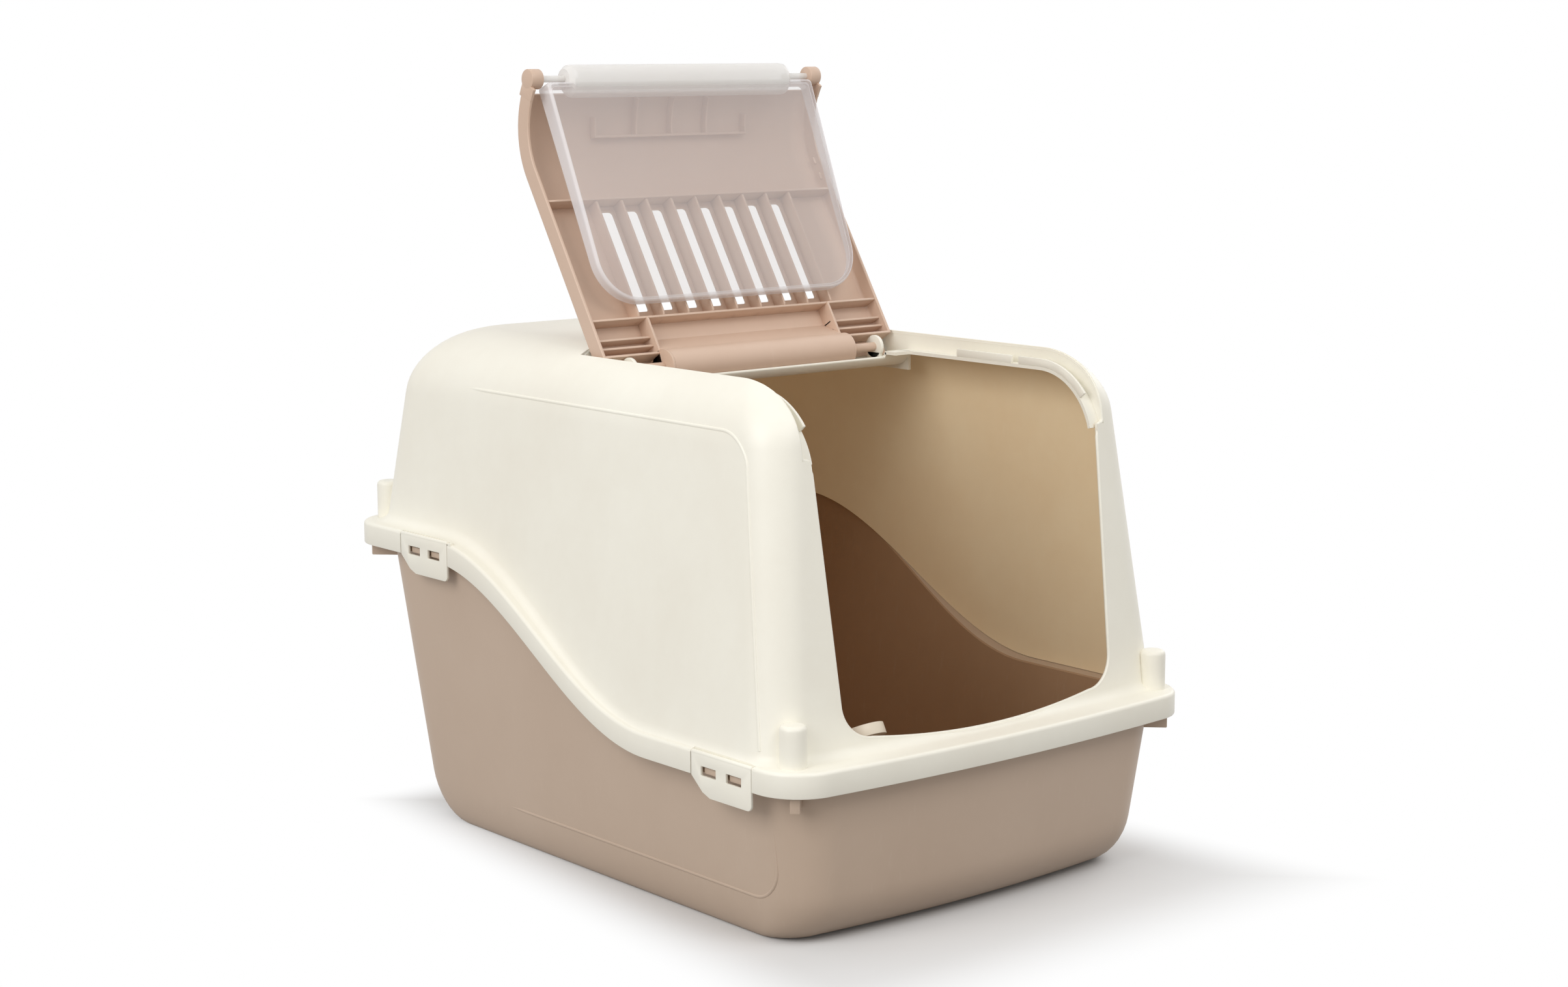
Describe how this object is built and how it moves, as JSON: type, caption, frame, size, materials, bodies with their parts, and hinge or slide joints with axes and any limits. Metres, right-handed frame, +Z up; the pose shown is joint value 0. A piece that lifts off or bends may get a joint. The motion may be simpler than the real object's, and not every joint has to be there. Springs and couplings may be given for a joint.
{
  "type": "cat litter box with hood",
  "caption": "Cream and taupe plastic cat litter box: rounded tray, clip-on hood with a front entry, vented top lid standing open with a clear swing door folded into it, and a loose scoop.",
  "frame": {"origin": "on the ground, under the middle of the hood's flange", "axes": "+Z up, the entry and the swing door face -Y, +X is to the right seen from behind the entry looking along +Y"},
  "size_m": [0.39, 0.555, 0.5889],
  "materials": {
    "cream_plastic": "fine satin moulding",
    "taupe_plastic": "fine satin moulding",
    "clear_plastic": "milky translucent, glossy"
  },
  "bodies": {
    "tray": {"tray": "taupe_plastic"},
    "hood": {"hood": "cream_plastic"},
    "lid": {"lid": "taupe_plastic"},
    "flap": {"flap": "clear_plastic"},
    "latch_front_left": {"latch_front_left": "cream_plastic"},
    "latch_front_right": {"latch_front_right": "cream_plastic"},
    "latch_rear_left": {"latch_rear_left": "cream_plastic"},
    "latch_rear_right": {"latch_rear_right": "cream_plastic"},
    "scoop": {"scoop": "cream_plastic"}
  },
  "joints": [
    {"name": "hood_lift", "type": "slide", "parent": "tray", "child": "hood", "axis": [0, 0, 1], "range_m": [0, 0.3]},
    {"name": "lid_hinge", "type": "hinge", "parent": "hood", "child": "lid", "pos_m": [0, 0.001, 0.37], "axis": [-1, 0, 0], "range_deg": [-122, 0]},
    {"name": "flap_hinge", "type": "hinge", "parent": "lid", "child": "flap", "pos_m": [0, 0.09585, 0.5784], "axis": [-1, 0, 0], "range_deg": [0, 160]},
    {"name": "latch_front_left_hinge", "type": "hinge", "parent": "hood", "child": "latch_front_left", "pos_m": [-0.1932, -0.1955, 0.1305], "axis": [0, 1, 0], "range_deg": [0, 100]},
    {"name": "latch_front_right_hinge", "type": "hinge", "parent": "hood", "child": "latch_front_right", "pos_m": [0.1932, -0.1955, 0.1305], "axis": [0, -1, 0], "range_deg": [0, 100]},
    {"name": "latch_rear_left_hinge", "type": "hinge", "parent": "hood", "child": "latch_rear_left", "pos_m": [-0.1932, 0.166, 0.2321], "axis": [0, 1, 0], "range_deg": [0, 100]},
    {"name": "latch_rear_right_hinge", "type": "hinge", "parent": "hood", "child": "latch_rear_right", "pos_m": [0.1932, 0.166, 0.2321], "axis": [0, -1, 0], "range_deg": [0, 100]},
    {"name": "scoop_lift", "type": "slide", "parent": "tray", "child": "scoop", "axis": [0, 0, 1], "range_m": [0, 0.2]}
  ]
}
